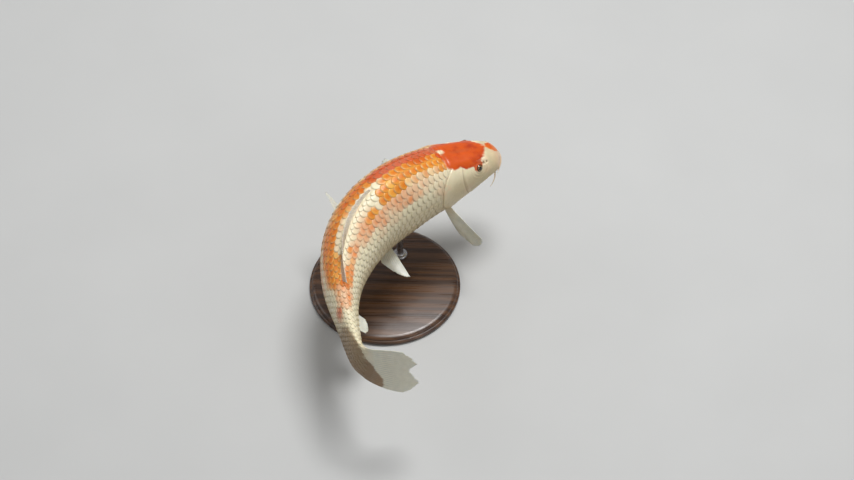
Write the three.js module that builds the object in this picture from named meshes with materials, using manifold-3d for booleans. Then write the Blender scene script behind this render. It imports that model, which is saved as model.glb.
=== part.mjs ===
// Koi carp, life size, curled to its right in a gentle turn, on a plain display stand.
// Units are millimetres, +Z is up, and the origin is the centre of the stand's underside.
// Lengths along the fish are measured from the snout, down the bent line of its back.

import * as THREE from 'three';
import { mergeVertices } from 'three/addons/utils/BufferGeometryUtils.js';
import Module from 'manifold-3d';

const wasm = await Module();
wasm.setup();

// Driving dimensions of the fish
const totalLength = 592;
const fleshLength = 508;
const snout = new THREE.Vector3(170, 130, 151);
const snoutRounding = 14;
const gap = 0.3;
const finEdge = 0.8;

// Where the body is divided: the head ends behind the gill covers
const headEnd = 122;
const frontEnd = 212;
const middleEnd = 316;
const rearEnd = 420;

// Bend of the spine: [distance from the snout, compass heading of the body in degrees]
const headings = [
  [0, 20], [60, 24], [150, 36], [200, 45], [245, 59], [295, 74], [345, 85],
  [400, 98], [445, 102], [480, 104], [508, 138], [535, 164], [565, 170], [592, 180],
];
const pitches = [[0, 7], [60, 3], [130, -3], [210, 0], [592, 0]];

// Lean of the back towards the fish's left, in degrees; less than 0 is to its right
const leans = [[0, 0], [430, 0], [490, -4], [540, -9], [592, 7]];

// Body outline: [distance from the snout, distance from the spine]
const backHeights = [
  [0, 17], [20, 26], [60, 40], [110, 51], [190, 60], [300, 53], [400, 41], [470, 33], [508, 31],
];
const bellyDepths = [
  [0, 8], [20, 14], [60, 32], [110, 50], [200, 63], [300, 56], [400, 41], [470, 31], [508, 31],
];
const sideWidths = [
  [0, 18], [20, 27], [60, 38], [110, 46], [180, 50], [260, 46],
  [300, 41], [360, 30.5], [430, 17.5], [480, 12], [508, 6],
];

// Squareness of the sections: 1 is an ellipse, less is fuller, more is keeled
const backFullness = [[0, 0.8], [110, 0.9], [200, 1.05], [508, 1.0]];
const bellyFullness = [[0, 0.95], [110, 0.9], [260, 0.8], [420, 1.0], [508, 1.0]];

const ringSides = 28;

// Head fittings
const eyeRadius = 6.6;
const eyeDistance = 44;
const eyeAngle = 55;
const eyeSink = 4.4;
const mouthDrop = 2;
const jawSlope = 24;
const jawLength = 40;
const gillInset = 24;

// Stand
const baseRadius = 112;
const baseThickness = 12;
const baseBevel = 2;
const rodRadius = 5;
const flangeRadius = 11;
const flangeThickness = 4;
const rodStations = [168, 316];

// ---------- curves through a few stations ----------

function smoothTable(pairs) {
  const xs = pairs.map((pair) => pair[0]);
  const ys = pairs.map((pair) => pair[1]);
  const slopes = xs.slice(1).map((x, i) => (ys[i + 1] - ys[i]) / (x - xs[i]));
  const tangents = ys.map((y, i) => {
    if (i === 0) return slopes[0];
    if (i === ys.length - 1) return slopes[i - 1];
    const before = slopes[i - 1];
    const after = slopes[i];
    return before * after <= 0 ? 0 : (2 * before * after) / (before + after);
  });
  return (x) => {
    const last = xs.length - 2;
    const found = xs.findIndex((station) => station > x) - 1;
    const i = found < 0 ? (x < xs[0] ? 0 : last) : found;
    const width = xs[i + 1] - xs[i];
    const t = THREE.MathUtils.clamp((x - xs[i]) / width, 0, 1);
    const rise = t * t * (3 - 2 * t);
    const bulgeIn = t * (1 - t) * (1 - t) * width * tangents[i];
    const bulgeOut = t * t * (t - 1) * width * tangents[i + 1];
    return ys[i] * (1 - rise) + ys[i + 1] * rise + bulgeIn + bulgeOut;
  };
}

const headingAt = smoothTable(headings);
const pitchAt = smoothTable(pitches);
const leanAt = smoothTable(leans);
const backAt = smoothTable(backHeights);
const bellyAt = smoothTable(bellyDepths);
const sideAt = smoothTable(sideWidths);
const backFullnessAt = smoothTable(backFullness);
const bellyFullnessAt = smoothTable(bellyFullness);

// ---------- the bent spine ----------

function forwardAt(u) {
  const heading = THREE.MathUtils.degToRad(headingAt(u));
  const pitch = THREE.MathUtils.degToRad(pitchAt(u));
  return new THREE.Vector3(
    Math.cos(heading) * Math.cos(pitch),
    Math.sin(heading) * Math.cos(pitch),
    Math.sin(pitch),
  );
}

const spine = [snout.clone()];
for (let u = 1; u <= totalLength; u += 1) {
  spine.push(spine[u - 1].clone().sub(forwardAt(u - 0.5)));
}

function frameAt(u) {
  const low = THREE.MathUtils.clamp(Math.floor(u), 0, totalLength - 1);
  const centre = spine[low].clone().lerp(spine[low + 1], u - low);
  const forward = forwardAt(u);
  const level = new THREE.Vector3(forward.y, -forward.x, 0).normalize();
  const right = level.applyAxisAngle(forward, -THREE.MathUtils.degToRad(leanAt(u)));
  const up = right.clone().cross(forward);
  return { centre, forward, right, up };
}

// Adds a step of (forward, right, up) millimetres, in the body's own directions at u
function stepFrom(point, u, [ahead, right, up]) {
  const frame = frameAt(u);
  return point
    .clone()
    .addScaledVector(frame.forward, ahead)
    .addScaledVector(frame.right, right)
    .addScaledVector(frame.up, up);
}

// ---------- the body's skin ----------

const signedPower = (value, power) => Math.sign(value) * Math.abs(value) ** power;

// Rounds the snout off, so the sections shrink to a blunt tip
function snoutShrink(u) {
  if (u >= snoutRounding) return 1;
  const reach = 1 - Math.max(u, 0) / snoutRounding;
  return Math.sqrt(1 - reach * reach);
}

// Section offset at an angle: 0 is the back, 90 the fish's right, 180 the belly, 270 its left
function sectionOffset(u, degrees, extra = 0) {
  const angle = THREE.MathUtils.degToRad(degrees);
  const sine = Math.sin(angle);
  const cosine = Math.cos(angle);
  const above = cosine >= 0;
  const power = above ? backFullnessAt(u) : bellyFullnessAt(u);
  const shrink = snoutShrink(u);
  const side = sideAt(u) * shrink + extra;
  const height = (above ? backAt(u) : bellyAt(u)) * shrink + extra;
  return { right: side * signedPower(sine, power), up: height * signedPower(cosine, power) };
}

function bodyPoint(u, degrees, extra = 0) {
  const frame = frameAt(u);
  const offset = sectionOffset(u, degrees, extra);
  return frame.centre
    .clone()
    .addScaledVector(frame.right, offset.right)
    .addScaledVector(frame.up, offset.up);
}

// ---------- reshaping and cutting ----------

// Moves every vertex of a three.js geometry to where place() puts it
function reshape(geometry, place) {
  const positions = geometry.attributes.position;
  const vertex = new THREE.Vector3();
  for (let i = 0; i < positions.count; i += 1) {
    vertex.fromBufferAttribute(positions, i);
    const moved = place(vertex);
    positions.setXYZ(i, moved.x, moved.y, moved.z);
  }
  return geometry;
}

function toSolid(geometry) {
  const bare = geometry.clone();
  bare.deleteAttribute('normal');
  bare.deleteAttribute('uv');
  const merged = mergeVertices(bare, 1e-4);
  return new wasm.Manifold(new wasm.Mesh({
    numProp: 3,
    vertProperties: new Float32Array(merged.attributes.position.array),
    triVerts: new Uint32Array(merged.index.array),
  }));
}

function toGeometry(solid) {
  const mesh = solid.getMesh();
  const geometry = new THREE.BufferGeometry();
  geometry.setAttribute('position', new THREE.BufferAttribute(mesh.vertProperties, 3));
  geometry.setIndex(new THREE.BufferAttribute(mesh.triVerts, 1));
  geometry.computeVertexNormals();
  return geometry;
}

// A length of the body between two stations, from a capped cylinder bent round the spine
function bodyLength(from, to, rings, extra = 0, crowding = 1) {
  const cylinder = new THREE.CylinderGeometry(1, 1, 1, ringSides, rings);
  return reshape(cylinder, (vertex) => {
    const along = THREE.MathUtils.clamp(0.5 - vertex.y, 0, 1) ** crowding;
    const u = from + (to - from) * along;
    const radius = Math.hypot(vertex.x, vertex.z);
    const degrees = THREE.MathUtils.radToDeg(Math.atan2(vertex.x, vertex.z));
    const centre = frameAt(u).centre;
    return centre.clone().lerp(bodyPoint(u, degrees, extra), radius);
  });
}

const clearanceBody = toSolid(bodyLength(0.6, fleshLength + gap, 60, gap, 1.15));

// Leaves what stands outside the body, a small gap clear of it
function cutFromBody(geometry) {
  return toGeometry(toSolid(geometry).subtract(clearanceBody));
}

// ---------- head ----------

const headSolid = toSolid(bodyLength(0.6, headEnd - gap / 2, 14, 0, 1.5));

// Side outline of a gill cover, as distances behind the snout and above the spine
function gillOutline(grow) {
  const shape = new THREE.Shape();
  shape.moveTo(69 - grow, 16 + grow);
  shape.quadraticCurveTo(62 - grow, -14, 74 - grow, -41 - grow);
  shape.quadraticCurveTo(104 + grow, -42 - grow, 117 + grow, -14);
  shape.quadraticCurveTo(118 + grow, 16 + grow, 94 + grow, 26 + grow);
  shape.quadraticCurveTo(77, 26 + grow, 69 - grow, 16 + grow);
  return shape;
}

// Each prism runs towards the fish's left, so that its faces point outwards on both sides
function gillRegion(side, grow) {
  const depth = 40;
  const prism = new THREE.ExtrudeGeometry(gillOutline(grow), {
    depth,
    bevelEnabled: false,
    curveSegments: 6,
  });
  const middle = frameAt(92);
  return toSolid(reshape(prism, (vertex) => {
    const outward = gillInset - grow + (side > 0 ? depth - vertex.z : vertex.z);
    return middle.centre
      .clone()
      .addScaledVector(middle.forward, 92 - vertex.x)
      .addScaledVector(middle.right, side * outward)
      .addScaledVector(middle.up, vertex.y);
  }));
}

// Everything below the sloping line of the mouth, back to the joint of the jaw
function jawRegion(grow) {
  const ahead = 30;
  const depth = 80;
  const length = ahead + jawLength + grow;
  const box = new THREE.BoxGeometry(length, 120, depth);
  const slope = THREE.MathUtils.degToRad(jawSlope);
  return toSolid(reshape(box, (vertex) => {
    const behind = vertex.x + length / 2 - ahead;
    const below = vertex.z - depth / 2 + grow;
    const back = behind * Math.cos(slope) - below * Math.sin(slope);
    const drop = -mouthDrop - behind * Math.sin(slope) + below * Math.cos(slope);
    return stepFrom(snout, 20, [-back, vertex.y, drop]);
  }));
}

function eyeCentre(side) {
  return bodyPoint(eyeDistance, side * eyeAngle, -eyeSink);
}

function eyeGeometry(side, grow) {
  const ball = new THREE.SphereGeometry(eyeRadius + grow, 14, 9);
  const centre = eyeCentre(side);
  return ball.translate(centre.x, centre.y, centre.z);
}

function skull() {
  return headSolid
    .subtract(jawRegion(gap))
    .subtract(gillRegion(1, gap))
    .subtract(gillRegion(-1, gap))
    .subtract(toSolid(eyeGeometry(1, gap)))
    .subtract(toSolid(eyeGeometry(-1, gap)));
}

// A barbel is a cylinder drawn out into a thin, curved feeler
function barbel(side, { station, degrees, length, droop, sweep, thickness }) {
  const root = bodyPoint(station, side * degrees, -thickness);
  const cylinder = new THREE.CylinderGeometry(1, 1, 1, 8, 6);
  return cutFromBody(reshape(cylinder, (vertex) => {
    const along = 0.5 - vertex.y;
    const radius = thickness * (1 - 0.6 * along);
    const ahead = -length * sweep * along * along - vertex.z * radius * 0.4;
    const outward = length * 0.55 * along;
    const down = -length * droop * along;
    const offset = [ahead + side * vertex.x * radius, side * outward, down + vertex.z * radius];
    return stepFrom(root, station, offset);
  }));
}

// ---------- fins ----------

// A fin is a flat box spread into a fan: x picks the ray, y runs along it and z is its thickness.
// pointAt(ray, along) gives the middle of the fin, with ray and along from 0 to 1.
function finGeometry(pointAt, { rays, steps, rootThickness }) {
  const box = new THREE.BoxGeometry(1, 1, 1, rays, steps, 1);
  const small = 0.01;
  return reshape(box, (vertex) => {
    const ray = vertex.x + 0.5;
    const along = vertex.y + 0.5;
    const middle = pointAt(ray, along);
    const rayStep = ray > 0.5 ? -small : small;
    const alongStep = along > 0.5 ? -small : small;
    const across = pointAt(ray + rayStep, along).sub(middle).multiplyScalar(Math.sign(rayStep));
    const outward = pointAt(ray, along + alongStep).sub(middle).multiplyScalar(Math.sign(alongStep));
    const normal = across.cross(outward).normalize();
    const thickness = THREE.MathUtils.lerp(rootThickness, finEdge, Math.min(1, along * 1.6));
    return middle.addScaledVector(normal, vertex.z * thickness);
  });
}

// A paired fin spreads from a short root like a paddle. reach and chord are the
// [forward, outward, up] directions of its length and, from front to rear, of its root.
// The last rays are the shortest, by the share taper, and the blade twists along its length.
function pairedFin(side, fin) {
  const outward = (direction) => [direction[0], side * direction[1], direction[2]];
  const root = bodyPoint(fin.station, side * fin.degrees, -fin.rootDepth);
  const origin = new THREE.Vector3();
  const reach = stepFrom(origin, fin.station, outward(fin.reach)).normalize();
  const chord = stepFrom(origin, fin.station, outward(fin.chord));
  chord.addScaledVector(reach, -chord.dot(reach)).normalize();
  const face = reach.clone().cross(chord).multiplyScalar(side);
  const spread = THREE.MathUtils.degToRad(fin.spread);
  const twist = THREE.MathUtils.degToRad(fin.twist);
  const pointAt = (ray, along) => {
    const turn = (ray - 0.3) * spread;
    const distance = fin.length * along * (1 - fin.taper * ray ** fin.fullness - 0.08 * (1 - ray) ** 6);
    const across = (ray - 0.5) * fin.rootChord + Math.sin(turn) * distance;
    const twisted = twist * along;
    return root
      .clone()
      .addScaledVector(reach, Math.cos(turn) * distance)
      .addScaledVector(chord, across * Math.cos(twisted))
      .addScaledVector(face, across * Math.sin(twisted) + fin.bow * along * along);
  };
  return cutFromBody(finGeometry(pointAt, { rays: 10, steps: 7, rootThickness: 3 }));
}

const pectoralRight = {
  station: 104, degrees: 128, rootDepth: 5, rootChord: 8, length: 80, taper: 0.35, fullness: 2.6,
  spread: 28, twist: 20, bow: 5, reach: [0.24, 0.86, -0.45], chord: [-0.5, -0.15, -0.85],
};
const pectoralLeft = {
  station: 104, degrees: 128, rootDepth: 5, rootChord: 13, length: 84, taper: 0.5, fullness: 2.2,
  spread: 22, twist: 10, bow: 6, reach: [-0.5, 0.8, -0.25], chord: [-0.8, -0.4, -0.45],
};
const pelvicRight = {
  station: 224, degrees: 160, rootDepth: 6, rootChord: 19, length: 72, taper: 0.66, fullness: 1.1,
  spread: 12, twist: 0, bow: 4, reach: [-0.42, 0.9, -0.16], chord: [-0.95, -0.3, -0.2],
};
const pelvicLeft = {
  station: 228, degrees: 156, rootDepth: 6, rootChord: 17, length: 88, taper: 0.5, fullness: 1.3,
  spread: 9, twist: 0, bow: 4, reach: [0.16, 0.9, 0.42], chord: [-0.66, -0.3, 0.52],
};

// Median fins stand on the back or belly: rays slope to the rear and lean to the fish's right
function medianFin({ from, to, degrees, heights, slope, lean, rays, steps }) {
  const heightAt = smoothTable(heights);
  const tiltAt = smoothTable(lean);
  const upward = degrees === 0 ? 1 : -1;
  const pointAt = (ray, along) => {
    const station = THREE.MathUtils.lerp(from, to, ray);
    const height = heightAt(ray) * along;
    const tip = station + height * slope;
    const tilt = THREE.MathUtils.degToRad(tiltAt(ray)) * along ** 0.5;
    const rise = upward * (height * Math.cos(tilt) - 4 * (1 - along));
    const root = bodyPoint(station, degrees);
    return stepFrom(root, station, [station - tip, height * Math.sin(tilt), rise]);
  };
  return cutFromBody(finGeometry(pointAt, { rays, steps, rootThickness: 2.6 }));
}

const dorsal = {
  from: 222, to: 388, degrees: 0, rays: 16, steps: 4, slope: 1.5,
  heights: [[0, 6], [0.12, 9], [0.3, 14], [0.45, 15], [0.8, 11], [1, 9]],
  lean: [[0, -6], [0.5, -4], [1, 42]],
};
const anal = {
  from: 342, to: 386, degrees: 180, rays: 9, steps: 5, slope: 0.62,
  heights: [[0, 41], [0.25, 45], [0.7, 41], [1, 35]],
  lean: [[0, 58], [1, 62]],
};

// The tail fin carries on from the stalk in two lobes, with a shallow fork between them
function tailFin() {
  const rootStation = fleshLength - 8;
  const tipAt = smoothTable([
    [0, 572], [0.1, 586], [0.24, totalLength], [0.38, 588], [0.53, 580],
    [0.67, 586], [0.79, totalLength - 2], [0.92, 582], [1, 570],
  ]);
  const pointAt = (ray, along) => {
    const height = (ray - 0.5) * 2;
    const station = THREE.MathUtils.lerp(rootStation, tipAt(ray), along);
    const flare = height > 0 ? 15 : 17;
    const rise = height * (29 + flare * along ** 1.3);
    return stepFrom(frameAt(station).centre, station, [0, 0, rise]);
  };
  return cutFromBody(finGeometry(pointAt, { rays: 18, steps: 8, rootThickness: 3.4 }));
}

// ---------- stand ----------

function standBase() {
  const profile = [
    new THREE.Vector2(0, 0),
    new THREE.Vector2(baseRadius, 0),
    new THREE.Vector2(baseRadius, baseThickness - baseBevel),
    new THREE.Vector2(baseRadius - baseBevel, baseThickness),
    new THREE.Vector2(0, baseThickness),
  ];
  return new THREE.LatheGeometry(profile, 48).rotateX(Math.PI / 2);
}

// A round rod on a small flange, cut off at the top to the curve of the belly
function standRod(station) {
  const foot = frameAt(station).centre;
  const bottom = baseThickness + gap;
  const profile = [
    new THREE.Vector2(0, bottom),
    new THREE.Vector2(flangeRadius, bottom),
    new THREE.Vector2(flangeRadius, bottom + flangeThickness - 1),
    new THREE.Vector2(flangeRadius - 1, bottom + flangeThickness),
    new THREE.Vector2(rodRadius, bottom + flangeThickness),
    new THREE.Vector2(rodRadius, foot.z - 20),
    new THREE.Vector2(0, foot.z - 20),
  ];
  const rod = new THREE.LatheGeometry(profile, 20).rotateX(Math.PI / 2);
  return cutFromBody(rod.translate(foot.x, foot.y, 0));
}

// ---------- materials and assembly ----------

const finish = (color, roughness, metalness = 0) => (
  new THREE.MeshStandardMaterial({ color, roughness, metalness })
);
const orangeSkin = finish(0xd2521c, 0.4);
const creamSkin = finish(0xe9dcc2, 0.4);
const finSkin = finish(0xd8d8c8, 0.45);
const eyeGloss = finish(0x14100c, 0.1);
const barbelSkin = finish(0xe0cdb0, 0.45);
const darkWood = finish(0x3a2418, 0.5);
const brushedSteel = finish(0xa9abad, 0.35, 1);

function piece(name, geometry, material) {
  const mesh = new THREE.Mesh(geometry, material);
  mesh.name = name;
  return mesh;
}

const head = new THREE.Group();
head.add(
  piece('head', toGeometry(skull()), orangeSkin),
  piece('lower_jaw', toGeometry(headSolid.intersect(jawRegion(0))), creamSkin),
  piece('gill_cover_right', toGeometry(headSolid.intersect(gillRegion(1, 0))), creamSkin),
  piece('gill_cover_left', toGeometry(headSolid.intersect(gillRegion(-1, 0))), creamSkin),
  piece('eye_right', eyeGeometry(1, 0), eyeGloss),
  piece('eye_left', eyeGeometry(-1, 0), eyeGloss),
);

const upperBarbel = { station: 9, degrees: 104, length: 11, droop: 0.5, sweep: 0.5, thickness: 1.0 };
const cornerBarbel = { station: 17, degrees: 122, length: 22, droop: 0.75, sweep: 0.6, thickness: 1.3 };
head.add(
  piece('barbel_upper_right', barbel(1, upperBarbel), barbelSkin),
  piece('barbel_upper_left', barbel(-1, upperBarbel), barbelSkin),
  piece('barbel_corner_right', barbel(1, cornerBarbel), barbelSkin),
  piece('barbel_corner_left', barbel(-1, cornerBarbel), barbelSkin),
);

const trunk = new THREE.Group();
trunk.add(
  piece('trunk_front', bodyLength(headEnd + gap / 2, frontEnd - gap / 2, 9), orangeSkin),
  piece('trunk_middle', bodyLength(frontEnd + gap / 2, middleEnd - gap / 2, 10), creamSkin),
  piece('trunk_rear', bodyLength(middleEnd + gap / 2, rearEnd - gap / 2, 10), creamSkin),
  piece('tail_stalk', bodyLength(rearEnd + gap / 2, fleshLength, 10), creamSkin),
);

const fins = new THREE.Group();
fins.add(
  piece('fin_dorsal', medianFin(dorsal), finSkin),
  piece('fin_anal', medianFin(anal), finSkin),
  piece('fin_tail', tailFin(), finSkin),
  piece('fin_pectoral_right', pairedFin(1, pectoralRight), finSkin),
  piece('fin_pectoral_left', pairedFin(-1, pectoralLeft), finSkin),
  piece('fin_pelvic_right', pairedFin(1, pelvicRight), finSkin),
  piece('fin_pelvic_left', pairedFin(-1, pelvicLeft), finSkin),
);

const stand = new THREE.Group();
stand.add(
  piece('stand_base', standBase(), darkWood),
  piece('stand_rod_front', standRod(rodStations[0]), brushedSteel),
  piece('stand_rod_rear', standRod(rodStations[1]), brushedSteel),
);

const koi = new THREE.Group();
koi.add(head, trunk, fins, stand);

export default koi;
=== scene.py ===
import math
import bmesh
import bpy
import numpy as np
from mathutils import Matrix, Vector


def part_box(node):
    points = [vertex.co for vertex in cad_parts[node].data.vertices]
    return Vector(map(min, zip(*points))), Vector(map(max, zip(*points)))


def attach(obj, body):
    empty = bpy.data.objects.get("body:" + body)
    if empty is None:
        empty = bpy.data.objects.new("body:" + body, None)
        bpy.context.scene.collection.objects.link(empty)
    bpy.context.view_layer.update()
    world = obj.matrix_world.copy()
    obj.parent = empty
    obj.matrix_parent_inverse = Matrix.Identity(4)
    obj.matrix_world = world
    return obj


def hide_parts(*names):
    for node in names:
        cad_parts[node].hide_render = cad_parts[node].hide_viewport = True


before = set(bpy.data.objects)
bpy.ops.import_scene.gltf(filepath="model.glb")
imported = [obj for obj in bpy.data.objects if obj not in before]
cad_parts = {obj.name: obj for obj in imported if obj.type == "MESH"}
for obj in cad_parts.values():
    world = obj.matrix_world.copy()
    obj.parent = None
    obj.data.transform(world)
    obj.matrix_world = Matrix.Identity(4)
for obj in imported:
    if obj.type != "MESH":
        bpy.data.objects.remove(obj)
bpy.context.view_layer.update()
mm = 0.001
print("frame loaded,", len(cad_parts), "nodes")

# The carp's build as (millimetres behind the nose, value), the same as the solids' own
carp = {
    "nose": (170.0, 130.0, 151.0),
    "length": 592,
    "headings": [(0, 20), (60, 24), (150, 36), (200, 45), (245, 59), (295, 74), (345, 85),
                 (400, 98), (445, 102), (480, 104), (508, 138), (535, 164), (565, 170), (592, 180)],
    "pitches": [(0, 7), (60, 3), (130, -3), (210, 0), (592, 0)],
    "leans": [(0, 0), (430, 0), (490, -4), (540, -9), (592, 7)],
    "backHeights": [(0, 17), (20, 26), (60, 40), (110, 51), (190, 60), (300, 53), (400, 41),
                    (470, 33), (508, 31), (531, 29.4)],
    "bellyDepths": [(0, 8), (20, 14), (60, 32), (110, 50), (200, 63), (300, 56), (400, 41),
                    (470, 31), (508, 31), (531, 30.4)],
    "sideWidths": [(0, 18), (20, 27), (60, 38), (110, 46), (180, 50), (260, 46), (300, 41),
                   (360, 30.5), (430, 17.5), (480, 12), (508, 6), (520, 2.9), (531, 0.9)],
    "backFullness": [(0, 0.8), (110, 0.9), (200, 1.05), (508, 1)],
    "bellyFullness": [(0, 0.95), (110, 0.9), (260, 0.8), (420, 1), (508, 1)],
    "noseRounding": 14,
    "skinEnd": 531,
    "coatDepth": 1.0,                            # room for the scales between the solids and the skin
    "bareInset": 0.12,                           # the bare skin's depth inside the solids
}


def smoothTable(pairs):
    xs = np.array([pair[0] for pair in pairs], float)
    ys = np.array([pair[1] for pair in pairs], float)
    widths = np.diff(xs)
    slopes = np.diff(ys) / widths
    tangents = np.concatenate((slopes[:1], np.zeros(len(xs) - 2), slopes[-1:]))
    for i in range(1, len(xs) - 1):
        before, after = slopes[i - 1], slopes[i]
        if before * after > 0:
            tangents[i] = 2 * before * after / (before + after)

    def valueAt(x):
        x = np.asarray(x, float)
        i = np.clip(np.searchsorted(xs, x, side="right") - 1, 0, len(xs) - 2)
        t = np.clip((x - xs[i]) / widths[i], 0, 1)
        rise = t * t * (3 - 2 * t)
        bulgeIn = t * (1 - t) ** 2 * widths[i] * tangents[i]
        bulgeOut = t * t * (t - 1) * widths[i] * tangents[i + 1]
        return ys[i] * (1 - rise) + ys[i + 1] * rise + bulgeIn + bulgeOut

    return valueAt


def smoothStep(low, high, x):
    t = np.clip((x - low) / (high - low), 0, 1)
    return t * t * (3 - 2 * t)


def bump(x, middle, width):
    return np.exp(-((x - middle) / width) ** 2)


headingAt = smoothTable(carp["headings"])
pitchAt = smoothTable(carp["pitches"])
leanAt = smoothTable(carp["leans"])
backAt = smoothTable(carp["backHeights"])
bellyAt = smoothTable(carp["bellyDepths"])
sideAt = smoothTable(carp["sideWidths"])
backFullnessAt = smoothTable(carp["backFullness"])
bellyFullnessAt = smoothTable(carp["bellyFullness"])


def aheadAt(along):
    heading = np.radians(headingAt(along))
    pitch = np.radians(pitchAt(along))
    flat = np.cos(pitch)
    return np.stack([np.cos(heading) * flat, np.sin(heading) * flat, np.sin(pitch)], -1)


halfSteps = np.arange(carp["length"]) + 0.5
spine = np.vstack([carp["nose"], carp["nose"] - np.cumsum(aheadAt(halfSteps), axis=0)])


# Centre, ahead, right and up of the body at a distance behind the nose
def bodyAxes(along):
    along = np.asarray(along, float)
    stations = np.arange(len(spine))
    centre = np.stack([np.interp(along, stations, spine[:, k]) for k in range(3)], -1)
    ahead = aheadAt(along)
    level = unit(np.stack([ahead[..., 1], -ahead[..., 0], np.zeros_like(ahead[..., 0])], -1))
    lean = np.radians(leanAt(along))[..., None]
    right = level * np.cos(lean) + np.cross(level, ahead) * np.sin(lean)
    return centre, ahead, right, np.cross(right, ahead)


def unit(vectors):
    return vectors / np.maximum(np.linalg.norm(vectors, axis=-1, keepdims=True), 1e-12)


def signedPower(value, power):
    return np.sign(value) * np.abs(value) ** power


# Offsets to the right and upwards: 0 degrees is the back, 90 the right side, 180 the belly, -90 the left
def sectionOffsets(along, around, extra=0.0):
    angle = np.radians(around)
    sine, cosine = np.sin(angle), np.cos(angle)
    above = cosine >= 0
    power = np.where(above, backFullnessAt(along), bellyFullnessAt(along))
    nose = 1 - np.clip(along, 0, carp["noseRounding"]) / carp["noseRounding"]
    shrink = np.sqrt(np.clip(1 - nose * nose, 0, 1))
    side = sideAt(along) * shrink + extra
    height = np.where(above, backAt(along), bellyAt(along)) * shrink + extra
    return side * signedPower(sine, power), height * signedPower(cosine, power)


def bodyPoints(along, around, extra=0.0):
    along, around, extra = np.broadcast_arrays(along, around, extra)
    centre, ahead, right, up = bodyAxes(along)
    sideways, upward = sectionOffsets(along, around, extra)
    return centre + right * sideways[..., None] + up * upward[..., None]


# The girth is shared out evenly: fraction 0 is the back, 1 or -1 the belly
girth = {"stations": np.linspace(0.5, carp["skinEnd"], 180), "angles": np.linspace(0, 180, 361)}
ringSides = sectionOffsets(girth["stations"][:, None], girth["angles"][None, :])
ringSteps = np.hypot(np.diff(ringSides[0], axis=1), np.diff(ringSides[1], axis=1))
ringArcs = np.concatenate([np.zeros((len(ringSteps), 1)), np.cumsum(ringSteps, axis=1)], axis=1)
girth["half"] = ringArcs[:, -1]
girth["shares"] = np.linspace(0, 1, 121)
girth["table"] = np.array([np.interp(girth["shares"], arc / arc[-1], girth["angles"]) for arc in ringArcs])


def halfGirthAt(along):
    return np.interp(along, girth["stations"], girth["half"])


def aroundAt(along, fraction):
    along, fraction = np.broadcast_arrays(np.asarray(along, float), np.asarray(fraction, float))
    wrapped = (fraction + 1) % 2 - 1
    wrapped = np.where((fraction == 1) & (wrapped == -1), 1.0, wrapped)
    share = np.abs(wrapped) * (len(girth["shares"]) - 1)
    row = np.interp(along, girth["stations"], np.arange(len(girth["stations"])))
    i = np.clip(row.astype(int), 0, len(girth["stations"]) - 2)
    j = np.clip(share.astype(int), 0, len(girth["shares"]) - 2)
    s, t = row - i, share - j
    table = girth["table"]
    low = table[i, j] * (1 - t) + table[i, j + 1] * t
    high = table[i + 1, j] * (1 - t) + table[i + 1, j + 1] * t
    return np.where(wrapped < 0, -1, 1) * (low * (1 - s) + high * s)


def numbers(items, name, width=1, kind=np.float32):
    found = np.empty(len(items) * width, kind)
    items.foreach_get(name, found)
    return found.reshape(-1, width) if width > 1 else found


def addObject(name, data):
    made = bpy.data.objects.new(name, data)
    bpy.context.scene.collection.objects.link(made)
    return made


# Gives each vertex its place, as arrays of u and v, on a UV map
def addMap(mesh, name, spots):
    corners = numbers(mesh.loops, "vertex_index", kind=np.int32)
    flat = np.stack([np.ravel(spots[0]), np.ravel(spots[1])], -1)
    mesh.uv_layers.new(name=name).uv.foreach_set("vector", flat[corners].ravel())


# Carries the corners of a flat grid, x and y from 0 to 1, to their places; where its sides meet it is closed
def wrapGrid(name, columns, rows, place, maps):
    bm = bmesh.new()
    bmesh.ops.create_grid(bm, x_segments=columns, y_segments=rows, size=0.5)
    bmesh.ops.translate(bm, verts=bm.verts, vec=(0.5, 0.5, 0))
    mesh = bpy.data.meshes.new(name)
    bm.to_mesh(mesh)
    bm.free()
    flat = numbers(mesh.vertices, "co", 3).astype(float)
    order = np.lexsort((np.round(flat[:, 0] * columns), np.round(flat[:, 1] * rows)))
    x = flat[order, 0].reshape(rows + 1, columns + 1)
    y = flat[order, 1].reshape(rows + 1, columns + 1)
    places = np.empty_like(flat)
    places[order] = place(x, y).reshape(-1, 3) * mm
    mesh.vertices.foreach_set("co", places.ravel())
    for mapName, mapAt in maps.items():
        spots = np.empty((len(flat), 2))
        spots[order] = np.stack(mapAt(x, y), -1).reshape(-1, 2)
        addMap(mesh, mapName, spots.T)
    return closeMesh(mesh, name)


def closeMesh(mesh, name):
    bm = bmesh.new()
    bm.from_mesh(mesh)
    bmesh.ops.remove_doubles(bm, verts=bm.verts, dist=2e-6)
    bmesh.ops.dissolve_degenerate(bm, dist=1e-7, edges=bm.edges)
    bmesh.ops.recalc_face_normals(bm, faces=bm.faces)
    for face in bm.faces:
        face.smooth = True
    bm.to_mesh(mesh)
    bm.free()
    return addObject(name, mesh)


def gridNormals(points, closed):
    down = np.gradient(points, axis=0)
    if closed:
        points = np.concatenate([points[:, -2:-1], points, points[:, 1:2]], axis=1)
        across = points[:, 2:] - points[:, :-2]
    else:
        across = np.gradient(points, axis=1)
    return unit(np.cross(down, across))


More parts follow.
